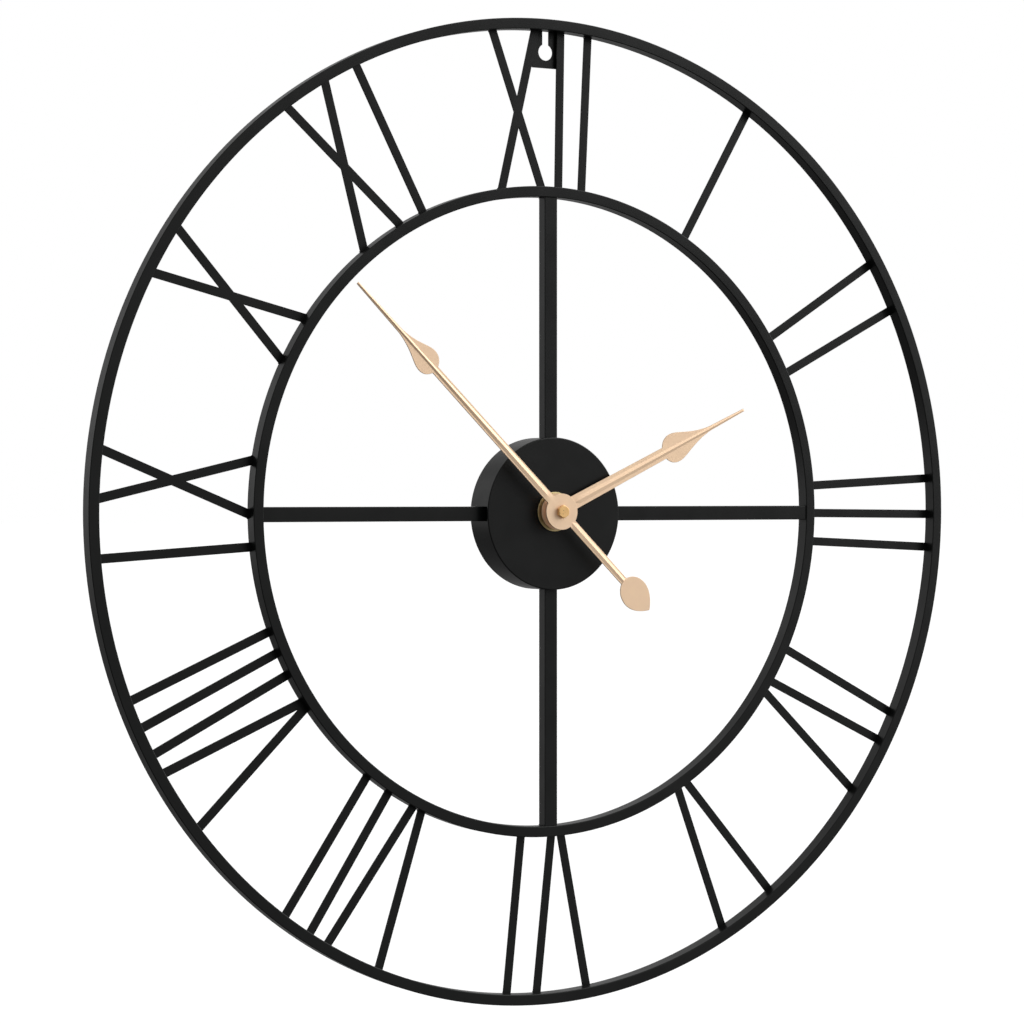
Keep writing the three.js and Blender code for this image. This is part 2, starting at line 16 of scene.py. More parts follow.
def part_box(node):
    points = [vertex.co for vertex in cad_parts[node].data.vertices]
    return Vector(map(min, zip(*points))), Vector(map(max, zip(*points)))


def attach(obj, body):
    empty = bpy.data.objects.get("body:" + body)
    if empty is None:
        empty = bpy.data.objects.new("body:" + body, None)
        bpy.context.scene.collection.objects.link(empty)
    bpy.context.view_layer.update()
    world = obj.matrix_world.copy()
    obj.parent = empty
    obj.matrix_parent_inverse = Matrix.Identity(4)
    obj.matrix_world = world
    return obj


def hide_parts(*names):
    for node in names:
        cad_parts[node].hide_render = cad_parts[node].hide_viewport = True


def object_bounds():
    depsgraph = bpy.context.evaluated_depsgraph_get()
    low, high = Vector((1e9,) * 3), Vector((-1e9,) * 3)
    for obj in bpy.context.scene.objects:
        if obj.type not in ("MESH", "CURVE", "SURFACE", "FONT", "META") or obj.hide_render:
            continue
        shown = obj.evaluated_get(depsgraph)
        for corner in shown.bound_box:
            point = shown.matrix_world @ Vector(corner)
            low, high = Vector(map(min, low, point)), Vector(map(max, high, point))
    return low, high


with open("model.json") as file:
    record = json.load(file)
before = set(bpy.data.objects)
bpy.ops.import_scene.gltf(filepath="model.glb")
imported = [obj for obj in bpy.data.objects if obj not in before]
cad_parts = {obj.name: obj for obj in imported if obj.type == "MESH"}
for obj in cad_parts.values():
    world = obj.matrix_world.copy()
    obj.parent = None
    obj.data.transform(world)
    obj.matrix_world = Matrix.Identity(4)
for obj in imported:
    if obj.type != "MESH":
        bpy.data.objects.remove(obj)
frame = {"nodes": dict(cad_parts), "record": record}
cad_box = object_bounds()
NODES = frame["nodes"]

MM = 0.001
RING_LOW, RING_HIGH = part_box("outer_ring")
AXIS = Vector(((RING_LOW.x + RING_HIGH.x) / 2, RING_HIGH.y, (RING_LOW.z + RING_HIGH.z) / 2))
TO_FRAME = Matrix.Translation(AXIS) @ Matrix.Scale(MM, 4)
TO_DRAWING = TO_FRAME.inverted()


def extent(node):
    """The lowest and highest corner of a CAD node in the drawing's millimetres."""
    low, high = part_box(node)
    return TO_DRAWING @ low, TO_DRAWING @ high


def radius_of(node):
    """The outer radius of a CAD node that is round about the Y direction."""
    low, high = extent(node)
    return (high.x - low.x) / 2


def centre_of(node):
    low, high = extent(node)
    return (low + high) / 2


# ---------------------------------------------------------------- sizes, in millimetres

CAD_GAP = 0.3  # what the CAD leaves between pieces that touch
OUTER_WIDTH = 6.6
INNER_WIDTH = 6.5
RING_EDGE = 0.55
RING_STEPS = 288
SHEET = 1.2
STRIP_EDGE = 0.16
SPOKE_EDGE = 0.45
FILLET_STEPS = 4
BEND = 32  # degrees: an edge that turns more than this is rounded
PRESSED = 8  # degrees: an edge of a pressed rib turns more than this
FLAT_TURN = 0.5  # degrees: faces that turn less than this are one flat face
ARC_HANDLE = 0.5523  # the length of the handles that make a Bezier curve follow a quarter circle
MOST_OF_SIDE = 0.49  # the most of a side that one fillet takes
ON_AXIS = 1e-6  # a radius smaller than this is on the axis
LATHE_JOIN = 1e-5  # points closer than this are joined in a turned solid,
CUT_JOIN = 1e-4  # after a cut,
FLAT_JOIN = 1e-3  # and where flat faces are made whole
PAST = 1  # how far a cutting solid runs past what it cuts


# ---------------------------------------------------------------- mesh building


def bezier(a, b, c, d, steps):
    """Points along a cubic Bezier curve, without its first point."""
    points = []
    for i in range(1, steps + 1):
        t = i / steps
        s = 1 - t
        points.append(s**3 * a + 3 * s * s * t * b + 3 * s * t * t * c + t**3 * d)
    return points


def rounded(corners, fillet, steps=FILLET_STEPS):
    """A closed outline with each corner rounded; fillet is one size, or one for each corner."""
    fillets = fillet if isinstance(fillet, (list, tuple)) else [fillet] * len(corners)
    points = []
    count = len(corners)
    for i, size in enumerate(fillets):
        corner = Vector(corners[i])
        if size == 0:
            points.append(corner)
            continue
        before = Vector(corners[i - 1]) - corner
        after = Vector(corners[(i + 1) % count]) - corner
        reach = min(size, before.length * MOST_OF_SIDE, after.length * MOST_OF_SIDE)
        start = corner + before.normalized() * reach
        end = corner + after.normalized() * reach
        points.append(start)
        points += bezier(start, start.lerp(corner, ARC_HANDLE), end.lerp(corner, ARC_HANDLE), end, steps)
    return points


def lathe(section, steps=96, x=0.0, z=0.0):
    """A turned solid about the Y direction through (x, z), from a closed section of (radius, Y).

    section is the list of points, or a function that gives it for each angle clockwise of +Z.
    """
    bm = bmesh.new()
    section_at = section if callable(section) else lambda angle: section
    rows = []
    for i in range(steps):
        angle = 2 * math.pi * i / steps
        sine, cosine = math.sin(angle), math.cos(angle)
        rows.append([bm.verts.new((x + r * sine, y, z + r * cosine)) for r, y in section_at(angle)])
    on_axis = [r < ON_AXIS for r, _ in section_at(0)]
    count = len(on_axis)
    for i in range(steps):
        here, there = rows[i], rows[(i + 1) % steps]
        for j in range(count):
            k = (j + 1) % count
            if not (on_axis[j] and on_axis[k]):
                bm.faces.new((here[j], here[k], there[k], there[j]))
    bmesh.ops.remove_doubles(bm, verts=bm.verts, dist=LATHE_JOIN)
    bmesh.ops.recalc_face_normals(bm, faces=bm.faces)
    return bm


def ring_section(inner, outer, front, back):
    """The corners of a rectangular section, for lathe, with the outer wall first."""
    return [(outer, front), (outer, back), (inner, back), (inner, front)]


def wire(points, radii, sides=10):
    """A round wire along a row of points, with its radius at each of them."""
    bm = bmesh.new()
    rows = []
    for i, (point, radius) in enumerate(zip(points, radii)):
        along = (points[min(i + 1, len(points) - 1)] - points[max(i - 1, 0)]).normalized()
        side = along.cross(Vector((0.1, 1, 0.1))).normalized()
        up = along.cross(side)
        turns = [2 * math.pi * k / sides for k in range(sides)]
        rows.append([bm.verts.new(point + radius * (math.cos(t) * side + math.sin(t) * up)) for t in turns])
    for here, there in zip(rows, rows[1:]):
        for k in range(sides):
            n = (k + 1) % sides
            bm.faces.new((here[k], here[n], there[n], there[k]))
    bm.faces.new(rows[0])
    bm.faces.new(rows[-1])
    bmesh.ops.recalc_face_normals(bm, faces=bm.faces)
    return bm


def slab(outline, front, back):
    """A flat piece: an outline of (X, Z) points, made solid from the depth front to the depth back."""
    bm = bmesh.new()
    near = [bm.verts.new((p[0], front, p[1])) for p in outline]
    far = [bm.verts.new((p[0], back, p[1])) for p in outline]
    bm.faces.new(near)
    bm.faces.new(list(reversed(far)))
    count = len(outline)
    for i in range(count):
        k = (i + 1) % count
        bm.faces.new((near[i], far[i], far[k], near[k]))
    bmesh.ops.recalc_face_normals(bm, faces=bm.faces)
    return bm


def box(low, high):
    corners = [(low[0], low[2]), (high[0], low[2]), (high[0], high[2]), (low[0], high[2])]
    return slab(corners, low[1], high[1])


def circle(radius, x=0.0, z=0.0, steps=48):
    return [
        (x + radius * math.cos(2 * math.pi * i / steps), z + radius * math.sin(2 * math.pi * i / steps))
        for i in range(steps)
    ]


def scratch_object(bm):
    mesh = bpy.data.meshes.new("scratch")
    bm.to_mesh(mesh)
    bm.free()
    return bpy.data.objects.new("scratch", mesh)


def combined(base, tool, operation):
    """base joined with tool (UNION), cut by it (DIFFERENCE) or cut down to it (INTERSECT)."""
    first, second = scratch_object(base), scratch_object(tool)
    for obj in (first, second):
        bpy.context.collection.objects.link(obj)
    modifier = first.modifiers.new("cut", "BOOLEAN")
    modifier.operation = operation
    modifier.solver = "EXACT"
    modifier.object = second
    bpy.context.view_layer.update()
    evaluated = first.evaluated_get(bpy.context.evaluated_depsgraph_get())
    result = bmesh.new()
    result.from_mesh(evaluated.data)
    for obj in (first, second):
        mesh = obj.data
        bpy.data.objects.remove(obj)
        bpy.data.meshes.remove(mesh)
    bmesh.ops.remove_doubles(result, verts=result.verts, dist=CUT_JOIN)
    return result


def merged(parts):
    """Several separate closed solids as one mesh."""
    whole = bmesh.new()
    for part in parts:
        mesh = bpy.data.meshes.new("scratch")
        part.to_mesh(mesh)
        part.free()
        whole.from_mesh(mesh)
        bpy.data.meshes.remove(mesh)
    return whole


def lying(bm, y, z):
    """A solid drawn about the Y direction, laid along X at a depth and a height."""
    bm.transform(Matrix.Translation((0, y, z)) @ Matrix.Rotation(-math.pi / 2, 4, "Z"))
    return bm


def whole_faces(bm):
    """Joins the triangles of each flat face into one face."""
    bmesh.ops.remove_doubles(bm, verts=bm.verts, dist=FLAT_JOIN)
    bmesh.ops.dissolve_limit(bm, angle_limit=math.radians(FLAT_TURN), verts=bm.verts, edges=bm.edges)
    return bm


def cad_solid(node):
    """A copy of a CAD node's mesh in the drawing's millimetres, with its flat faces whole."""
    bm = bmesh.new()
    bm.from_mesh(NODES[node].data)
    bm.transform(TO_DRAWING)
    return whole_faces(bm)


def piece(name, bm, body, slot, replaced=(), edge=0.0, segments=2, crease=BEND):
    """Makes the object called name from bm, rides it on body, and lets it stand for CAD nodes.

    Edges of more than BEND degrees are rounded by the width edge. Edges of more than crease degrees
    are shaded as sharp.
    """
    bm.transform(TO_FRAME)
    bmesh.ops.recalc_face_normals(bm, faces=bm.faces)
    mesh = bpy.data.meshes.new(name)
    bm.to_mesh(mesh)
    bm.free()
    mesh.materials.append(MATERIALS[slot])
    mesh.polygons.foreach_set("use_smooth", [True] * len(mesh.polygons))
    mesh.set_sharp_from_angle(angle=math.radians(crease))
    made = bpy.data.objects.new(name, mesh)
    bpy.context.collection.objects.link(made)
    if edge:
        bevel = made.modifiers.new("edge", "BEVEL")
        bevel.width = edge * MM
        bevel.segments = segments
        bevel.limit_method = "ANGLE"
        bevel.angle_limit = math.radians(BEND)
    weigh = made.modifiers.new("flat faces", "WEIGHTED_NORMAL")
    weigh.keep_sharp = crease < BEND or not edge
    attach(made, body)
    for node in replaced:
        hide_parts(node)
    return made


# ---------------------------------------------------------------- materials


class Finish:
    """A Principled material with its detail built from noise in the object's own coordinates."""

    def __init__(self, name, **constants):
        self.material = bpy.data.materials.new(name)
        self.material.use_nodes = True
        self.tree = self.material.node_tree
        self.shader = self.tree.nodes["Principled BSDF"]
        self.place = self.tree.nodes.new("ShaderNodeTexCoord")
        for socket, value in constants.items():
            self.shader.inputs[socket.replace("_", " ")].default_value = value

    def noise(self, size, detail=3.0, roughness=0.5, stretch=(1, 1, 1)):
        """Noise whose features are about `size` millimetres wide."""
        mapping = self.tree.nodes.new("ShaderNodeMapping")
        mapping.inputs["Scale"].default_value = stretch
        texture = self.tree.nodes.new("ShaderNodeTexNoise")
        texture.inputs["Scale"].default_value = 1 / (size * MM)
        texture.inputs["Detail"].default_value = detail
        texture.inputs["Roughness"].default_value = roughness
        self.tree.links.new(self.place.outputs["Object"], mapping.inputs["Vector"])
        self.tree.links.new(mapping.outputs["Vector"], texture.inputs["Vector"])
        return texture.outputs["Fac"]

    def spread(self, value, low, high, start=0.3, end=0.7):
        """value, from start to end, as a number from low to high."""
        node = self.tree.nodes.new("ShaderNodeMapRange")
        self.tree.links.new(value, node.inputs["Value"])
        node.inputs["From Min"].default_value = start
        node.inputs["From Max"].default_value = end
        node.inputs["To Min"].default_value = low
        node.inputs["To Max"].default_value = high
        return node.outputs["Result"]

    def blend(self, value, first, second, start=0.3, end=0.7):
        """A colour between first and second, each a colour or another colour's socket."""
        node = self.tree.nodes.new("ShaderNodeMix")
        node.data_type = "RGBA"
        self.tree.links.new(self.spread(value, 0, 1, start, end), node.inputs[0])
        for socket, colour in ((node.inputs[6], first), (node.inputs[7], second)):
            if isinstance(colour, bpy.types.NodeSocket):
                self.tree.links.new(colour, socket)
            else:
                socket.default_value = (*colour, 1)
        return node.outputs[2]

    def colour(self, socket):
        self.tree.links.new(socket, self.shader.inputs["Base Color"])

    def roughness(self, socket):
        self.tree.links.new(socket, self.shader.inputs["Roughness"])

    def bump(self, height, depth, strength=1.0):
        """Surface relief `depth` millimetres deep; called again, it adds to the relief before."""
        node = self.tree.nodes.new("ShaderNodeBump")
        node.inputs["Strength"].default_value = strength
        node.inputs["Distance"].default_value = depth * MM
        self.tree.links.new(height, node.inputs["Height"])
        before = self.shader.inputs["Normal"].links
        if before:
            self.tree.links.new(before[0].from_socket, node.inputs["Normal"])
        self.tree.links.new(node.outputs["Normal"], self.shader.inputs["Normal"])


def powder_coat():
    finish = Finish("black_powder_coat", Specular_IOR_Level=0.2)
    finish.colour(finish.blend(finish.noise(35, 2), (0.0036, 0.004, 0.0038), (0.0052, 0.0056, 0.0054)))
    finish.roughness(finish.spread(finish.noise(14), 0.29, 0.36))
    finish.bump(finish.noise(2.5, 1), 0.02, 0.4)
    return finish.material


def rose_gold():
    finish = Finish("rose_gold_satin", Metallic=0.45, Specular_IOR_Level=0.3)
    finish.colour(finish.blend(finish.noise(9, 2), (0.92, 0.67, 0.45), (0.89, 0.64, 0.44)))
    finish.roughness(finish.spread(finish.noise(5), 0.38, 0.46))
    finish.bump(finish.noise(4, 1), 0.01, 0.4)
    return finish.material


def brass():
    finish = Finish("turned_brass", Metallic=0.6)
    finish.colour(finish.blend(finish.noise(4, 3), (0.90, 0.56, 0.24), (0.81, 0.50, 0.20)))
    finish.roughness(finish.spread(finish.noise(1.5), 0.26, 0.38))
    finish.bump(finish.noise(0.4, 2, stretch=(1, 6, 1)), 0.006, 0.4)
    return finish.material


# A darker, olive copy of the turned brass: painted shade. It stands in for the shade that the bosses of the
# hands cast on the washer, not for a real ageing of the metal.
def shade_darkened_brass():
    finish = Finish("shade_darkened_brass", Metallic=0.9)
    finish.colour(finish.blend(finish.noise(3, 3), (0.74, 0.60, 0.32), (0.56, 0.45, 0.23)))
    finish.roughness(finish.spread(finish.noise(1.5), 0.36, 0.5))
    finish.bump(finish.noise(0.4, 2), 0.006, 0.4)
    return finish.material


def case_plastic():
    finish = Finish("black_moulded_plastic", Specular_IOR_Level=0.4)
    finish.colour(finish.blend(finish.noise(15, 2), (0.017, 0.017, 0.018), (0.023, 0.023, 0.024)))
    finish.roughness(finish.spread(finish.noise(6), 0.40, 0.52))
    finish.bump(finish.noise(0.25, 1), 0.012, 0.5)
    return finish.material


def rubber():
    finish = Finish("black_rubber", Specular_IOR_Level=0.3)
    finish.colour(finish.blend(finish.noise(3, 2), (0.012, 0.012, 0.012), (0.02, 0.02, 0.02)))
    finish.roughness(finish.spread(finish.noise(2), 0.75, 0.9))
    finish.bump(finish.noise(0.3, 2), 0.02, 0.5)
    return finish.material


def gear_plastic():
    finish = Finish("natural_acetal", Subsurface_Weight=0.15, Subsurface_Scale=0.001)
    finish.colour(finish.blend(finish.noise(4, 2), (0.80, 0.78, 0.72), (0.74, 0.72, 0.66)))
    finish.roughness(finish.spread(finish.noise(2), 0.3, 0.42))
    finish.bump(finish.noise(0.2, 2), 0.005, 0.4)
    return finish.material


def bright_steel():
    finish = Finish("nickel_plated_steel", Metallic=1.0)
    finish.colour(finish.blend(finish.noise(3, 3), (0.60, 0.59, 0.57), (0.48, 0.475, 0.46)))
    finish.roughness(finish.spread(finish.noise(1, stretch=(6, 1, 1)), 0.22, 0.36))
    finish.bump(finish.noise(0.2, 2, stretch=(8, 1, 1)), 0.004, 0.5)
    return finish.material


def copper_wire():
    finish = Finish("enamelled_copper", Metallic=0.9, Coat_Weight=0.6, Coat_Roughness=0.12)
    tones = ((0.50, 0.15, 0.05), (0.33, 0.08, 0.03))
    finish.colour(finish.blend(finish.noise(0.6, 2, stretch=(6, 1, 1)), *tones))
    finish.roughness(finish.spread(finish.noise(1), 0.25, 0.38))
    finish.bump(finish.noise(0.25, 0, stretch=(8, 0.5, 0.5)), 0.04, 0.8)
    return finish.material


def board():
    finish = Finish("green_circuit_board", Coat_Weight=0.4, Coat_Roughness=0.2)
    tones = ((0.02, 0.13, 0.045), (0.035, 0.19, 0.07))
    finish.colour(finish.blend(finish.noise(1.5, 0), *tones, 0.48, 0.52))
    finish.roughness(finish.spread(finish.noise(2), 0.4, 0.55))
    finish.bump(finish.noise(1.5, 0), 0.02, 0.6)
    return finish.material


def cell_wrap():
    finish = Finish("cell_wrap", Metallic=0.4, Coat_Weight=0.5, Coat_Roughness=0.15)
    finish.colour(finish.blend(finish.noise(5, 2), (0.035, 0.075, 0.16), (0.05, 0.095, 0.19)))
    finish.roughness(finish.spread(finish.noise(3), 0.28, 0.38))
    finish.bump(finish.noise(0.8, 2), 0.005, 0.4)
    return finish.material


MATERIALS = {
    "powder_coat": powder_coat(),
    "rose_gold": rose_gold(),
    "brass": brass(),
    "shade_darkened_brass": shade_darkened_brass(),
    "case_plastic": case_plastic(),
    "rubber": rubber(),
    "gear_plastic": gear_plastic(),
    "bright_steel": bright_steel(),
    "copper_wire": copper_wire(),
    "board": board(),
    "cell_wrap": cell_wrap(),
}

for subpart in frame["record"]["subparts"]:
    node_mesh = NODES[subpart["node"]].data
    node_mesh.materials.clear()
    node_mesh.materials.append(MATERIALS[subpart["material_slot"]])


# ---------------------------------------------------------------- camera, light and floor

VIEW_AZIMUTH = math.radians(-29.971)
VIEW_DISTANCE = 1.8783
VIEW_TARGET = AXIS + Vector((-0.0209, 0, 0.0113))
FOCAL_LENGTH = 108.58
SHIFT_UP = -0.0185

SURROUND_LOW = 0.02
SURROUND_HIGH = 0.84
BRIGHTEST = (0.5, -0.1, 0.86)  # the direction of the brightest part of the studio
KEY = dict(azimuth=60, elevation=30, strength=2.1, spread=56)
REAR = dict(azimuth=222, elevation=12, strength=0.35, spread=50)
FLOOR_RADIUS = 60
FLOOR_DROP = 0.3
FLOOR_GLOW = 0.2


def add_camera():
    data = bpy.data.cameras.new("camera")
    data.lens = FOCAL_LENGTH
    data.shift_y = SHIFT_UP
    camera = bpy.data.objects.new("camera", data)
    towards = Vector((-math.sin(VIEW_AZIMUTH), math.cos(VIEW_AZIMUTH), 0))
    camera.location = VIEW_TARGET - VIEW_DISTANCE * towards
    camera.rotation_euler = towards.to_track_quat("-Z", "Y").to_euler()
    bpy.context.collection.objects.link(camera)
    bpy.context.scene.camera = camera


def direction(azimuth, elevation):
    """The way towards a light; azimuth 0 is in front of the dial and 90 to its right, in degrees."""
    a, e = math.radians(azimuth), math.radians(elevation)
    return Vector((math.sin(a) * math.cos(e), -math.cos(a) * math.cos(e), math.sin(e)))


def add_light(name, azimuth, elevation, strength, spread):
    """Even soft light from one side of the studio, over a patch `spread` degrees across."""
    data = bpy.data.lights.new(name, "SUN")
    data.energy = strength
    data.angle = math.radians(spread)
    light = bpy.data.objects.new(name, data)
    towards = direction(azimuth, elevation)
    light.location = AXIS + towards
    light.rotation_euler = (-towards).to_track_quat("-Z", "Y").to_euler()
    bpy.context.collection.objects.link(light)


def add_world():
    """A white studio, dimmer on the surfaces than it is to the eye, and brightest from the top right."""
    world = bpy.data.worlds.new("studio")
    bpy.context.scene.world = world
    world.use_nodes = True
    tree = world.node_tree
    backdrop = tree.nodes["Background"]
    backdrop.inputs["Color"].default_value = (1, 1, 1, 1)
    surround = tree.nodes.new("ShaderNodeBackground")
    surround.inputs["Color"].default_value = (1, 1, 1, 1)
    place = tree.nodes.new("ShaderNodeTexCoord")
    towards = tree.nodes.new("ShaderNodeVectorMath")
    towards.operation = "DOT_PRODUCT"
    towards.inputs[1].default_value = Vector(BRIGHTEST).normalized()
    level = tree.nodes.new("ShaderNodeMapRange")
    level.inputs["From Min"].default_value = -1
    level.inputs["To Min"].default_value = SURROUND_LOW
    level.inputs["To Max"].default_value = SURROUND_HIGH
    path = tree.nodes.new("ShaderNodeLightPath")
    choice = tree.nodes.new("ShaderNodeMixShader")
    tree.links.new(place.outputs["Generated"], towards.inputs[0])
    tree.links.new(towards.outputs["Value"], level.inputs["Value"])
    tree.links.new(level.outputs["Result"], surround.inputs["Strength"])
    tree.links.new(path.outputs["Is Camera Ray"], choice.inputs["Fac"])
    tree.links.new(surround.outputs["Background"], choice.inputs[1])
    tree.links.new(backdrop.outputs["Background"], choice.inputs[2])
    tree.links.new(choice.outputs["Shader"], tree.nodes["World Output"].inputs["Surface"])


def add_floor():
    bm = bmesh.new()
    bmesh.ops.create_circle(bm, cap_ends=True, radius=FLOOR_RADIUS, segments=96)
    mesh = bpy.data.meshes.new("floor")
    bm.to_mesh(mesh)
    bm.free()
    floor = bpy.data.objects.new("floor", mesh)
    floor.location = (0, 0, cad_box[0].z - FLOOR_DROP)
    finish = Finish("pale_floor", Emission_Color=(1, 1, 1, 1), Emission_Strength=FLOOR_GLOW)
    finish.colour(finish.blend(finish.noise(600, 2), (0.84, 0.84, 0.84), (0.86, 0.86, 0.86)))
    finish.roughness(finish.spread(finish.noise(300), 0.8, 0.9))
    mesh.materials.append(finish.material)
    bpy.context.collection.objects.link(floor)
    floor.visible_diffuse = False
    floor.visible_glossy = False


add_camera()
add_world()
add_floor()
add_light("key", **KEY)
add_light("rear", **REAR)
bpy.context.scene.view_settings.view_transform = "Standard"


# ---------------------------------------------------------------- frame


def ring_bar(name, node, width):
    low, high = extent(node)
    radius = radius_of(node)
    corners = [(radius, low.y), (radius, high.y), (radius - width, high.y), (radius - width, low.y)]
    bm = lathe(rounded(corners, RING_EDGE), RING_STEPS)
    piece(name, bm, "frame", "powder_coat", [node])


OUTER_RADIUS = radius_of("outer_ring")
INNER_RADIUS = radius_of("inner_ring")
OUTER_BORE = OUTER_RADIUS - OUTER_WIDTH
INNER_BORE = INNER_RADIUS - INNER_WIDTH
WELD_DEPTH = 0.25  # how far a welded end runs into the wall it meets
WELD_REACH = 4 * CAD_GAP  # a bar's end this near to a wall is welded to it
PAN_REACH = 3  # the same for the spokes' ends, which are flat, and the round pan
SLACK = 0.05

HUB = centre_of("round_cover")
PAN_RADIUS = radius_of("movement_box")
HUB_RUN_IN = 1.0  # how far the end of a spoke runs into the wall of the pan
BEAD_RADIUS = 0.75
BEAD_RIPPLE = 1.1  # from one ripple of a weld bead to the next
BEAD_STEPS = 5  # rows of the mesh to a ripple
BEAD_BLUNT = 0.12  # the share of a half wave that each end of a bead lacks
BEAD_SWELL = 0.14  # how much thicker and thinner a ripple makes the bead


def grown(node, walls):
    """A CAD bar whose ends near each wall radius are carried on into that wall."""
    bm = cad_solid(node)
    for vertex in bm.verts:
        flat = Vector((vertex.co.x, vertex.co.z))
        for wall, outward in walls:
            miss = (wall - flat.length) * outward
            if -SLACK < miss < WELD_REACH:
                flat = flat.normalized() * (wall + outward * WELD_DEPTH)
                vertex.co.x, vertex.co.z = flat
    return bm


def bead(start, end):
    """A weld bead from start to end, rippled along its length."""
    count = max(2, round((end - start).length / BEAD_RIPPLE)) * BEAD_STEPS
    points, radii = [], []
    for i in range(count + 1):
        swell = math.sin(math.pi * (BEAD_BLUNT + (1 - 2 * BEAD_BLUNT) * i / count))
        ripple = 1 + BEAD_SWELL * math.sin(2 * math.pi * i / BEAD_STEPS)
        points.append(start.lerp(end, i / count))
        radii.append(BEAD_RADIUS * swell * ripple)
    return wire(points, radii)


def end_beads(node, wall, centre=(0, 0), reach=WELD_REACH):
    """Beads along the back edges of a CAD bar's ends that lie within reach of a round wall."""
    bm = cad_solid(node)
    back = extent(node)[1].y
    beads = []
    for edge in bm.edges:
        ends = [vertex.co.copy() for vertex in edge.verts]
        on_back = all(abs(end.y - back) < SLACK for end in ends)
        radii = [(Vector((end.x, end.z)) - Vector(centre)).length for end in ends]
        if on_back and all(abs(radius - wall) < reach for radius in radii):
            beads.append(bead(*ends))
    bm.free()
    return beads


def add_frame():
    ring_bar("outer_ring_bar", "outer_ring", OUTER_WIDTH)
    ring_bar("inner_ring_bar", "inner_ring", INNER_WIDTH)
    beads = []
    for side, inward in (("top", (0, -1)), ("right", (-1, 0)), ("bottom", (0, 1)), ("left", (1, 0))):
        node = f"spoke_{side}"
        bar = grown(node, [(INNER_BORE, 1)])
        for vertex in bar.verts:
            if Vector((vertex.co.x, vertex.co.z)).length < INNER_BORE / 2:
                vertex.co.x += inward[0] * HUB_RUN_IN
                vertex.co.z += inward[1] * HUB_RUN_IN
        piece(f"{node}_bar", bar, "frame", "powder_coat", [node], SPOKE_EDGE, 3)
        beads += end_beads(node, INNER_BORE)
        beads += end_beads(node, PAN_RADIUS, (HUB.x, HUB.z), PAN_REACH)
    piece("spoke_welds", merged(beads), "frame", "powder_coat")
    beads = []
    for node in sorted(n for n in NODES if n.startswith("numeral_")):
        bars = grown(node, [(INNER_RADIUS, -1), (OUTER_BORE, 1)])
        piece(f"{node}_strip", bars, "frame", "powder_coat", [node], STRIP_EDGE)
        beads += end_beads(node, INNER_RADIUS) + end_beads(node, OUTER_BORE)
    piece("numeral_welds", merged(beads), "frame", "powder_coat")


KEYHOLE_HEAD = (5, 281)  # radius, and height of its centre
KEYHOLE_SLOT = (2.25, 293.8)
PLATE_CORNER = 0.5
PLATE_EDGE = 0.15
PLATE_BEAD = 5
PLATE_BEAD_DEPTH = 0.3  # behind the front of the plate
HEAD_STEPS = 48
SLOT_STEPS = 16


def keyhole(x):
    """The outline of the keyhole: most of a circle, and a slot that rises from it."""
    head, head_z = KEYHOLE_HEAD
    half, slot_z = KEYHOLE_SLOT
    mouth = math.asin(half / head)
    outline = []
    for i in range(HEAD_STEPS + 1):
        angle = mouth + (2 * math.pi - 2 * mouth) * i / HEAD_STEPS
        outline.append((x + head * math.sin(angle), head_z + head * math.cos(angle)))
    for i in range(SLOT_STEPS + 1):
        angle = math.pi * i / SLOT_STEPS
        outline.append((x - half * math.cos(angle), slot_z + half * math.sin(angle)))
    return outline


def add_hanger():
    low, high = extent("hanger_plate")
    corners = [(low.x, low.z), (high.x, low.z), (high.x, high.z), (low.x, high.z)]
    plate = slab(rounded(corners, PLATE_CORNER), low.y, high.y)
    hole = slab(keyhole((low.x + high.x) / 2), low.y - PAST, high.y + PAST)
    plate = combined(plate, hole, "DIFFERENCE")
    piece("hanger_plate_keyhole", plate, "frame", "powder_coat", ["hanger_plate"], PLATE_EDGE)
    beads = []
    for x in (low.x, high.x):
        top = Vector((x, low.y + PLATE_BEAD_DEPTH, high.z - PLATE_CORNER))
        beads.append(bead(top - Vector((0, 0, PLATE_BEAD)), top))
    piece("hanger_welds", merged(beads), "frame", "powder_coat")


add_frame()
add_hanger()


# ---------------------------------------------------------------- hub

HUB_STEPS = 192
BUSH_HOLE = 4.3
BUSH_RADIUS = 4
BUSH_BORE = 3.1
BUSH_FLANGE = 0.6
THREAD_PITCH = 0.75
THREAD_DEPTH = 0.35
THREAD_ROWS = 6  # rows of the mesh to a turn of the thread
WASHER_EDGE = 0.25
NUT_CLEARANCE = 0.05  # small enough that the chamfers of the thin nut don't cross
CAP_BORE = 1.7
NUT_FACE = 0.96  # the round face of a nut, as a share of the distance to its flats
NUT_EDGE = 0.06
CAP_BORE_FRONT = -26.7  # the depth where the bore of the cap nut ends
COVER_FACE_EDGE = 0.7
COVER_EDGE = 0.12
SLOT_PAST = 5  # how far the slots are cut beyond the radius of the cover, which is off the axis
PAN_FACE_EDGE = 0.9
PAN_FILLETS = [0.3, 0.3, 0.4, 0, 0]  # at the rim, the inside of the face, and the axis


def round_pan(node, face_edge):
    """A pressed pan that is open at the back, with a hole for the bush on the axis of the hands."""
    low, high = extent(node)
    radius = radius_of(node)
    corners = [
        (radius, low.y),
        (radius, high.y),
        (radius - SHEET, high.y),
        (radius - SHEET, low.y + SHEET),
        (0, low.y + SHEET),
        (0, low.y),
    ]
    pan = lathe(rounded(corners, [face_edge] + PAN_FILLETS), HUB_STEPS, HUB.x, HUB.z)
    hole = slab(circle(BUSH_HOLE), low.y - PAST, low.y + SHEET + PAST)
    return combined(pan, hole, "DIFFERENCE")


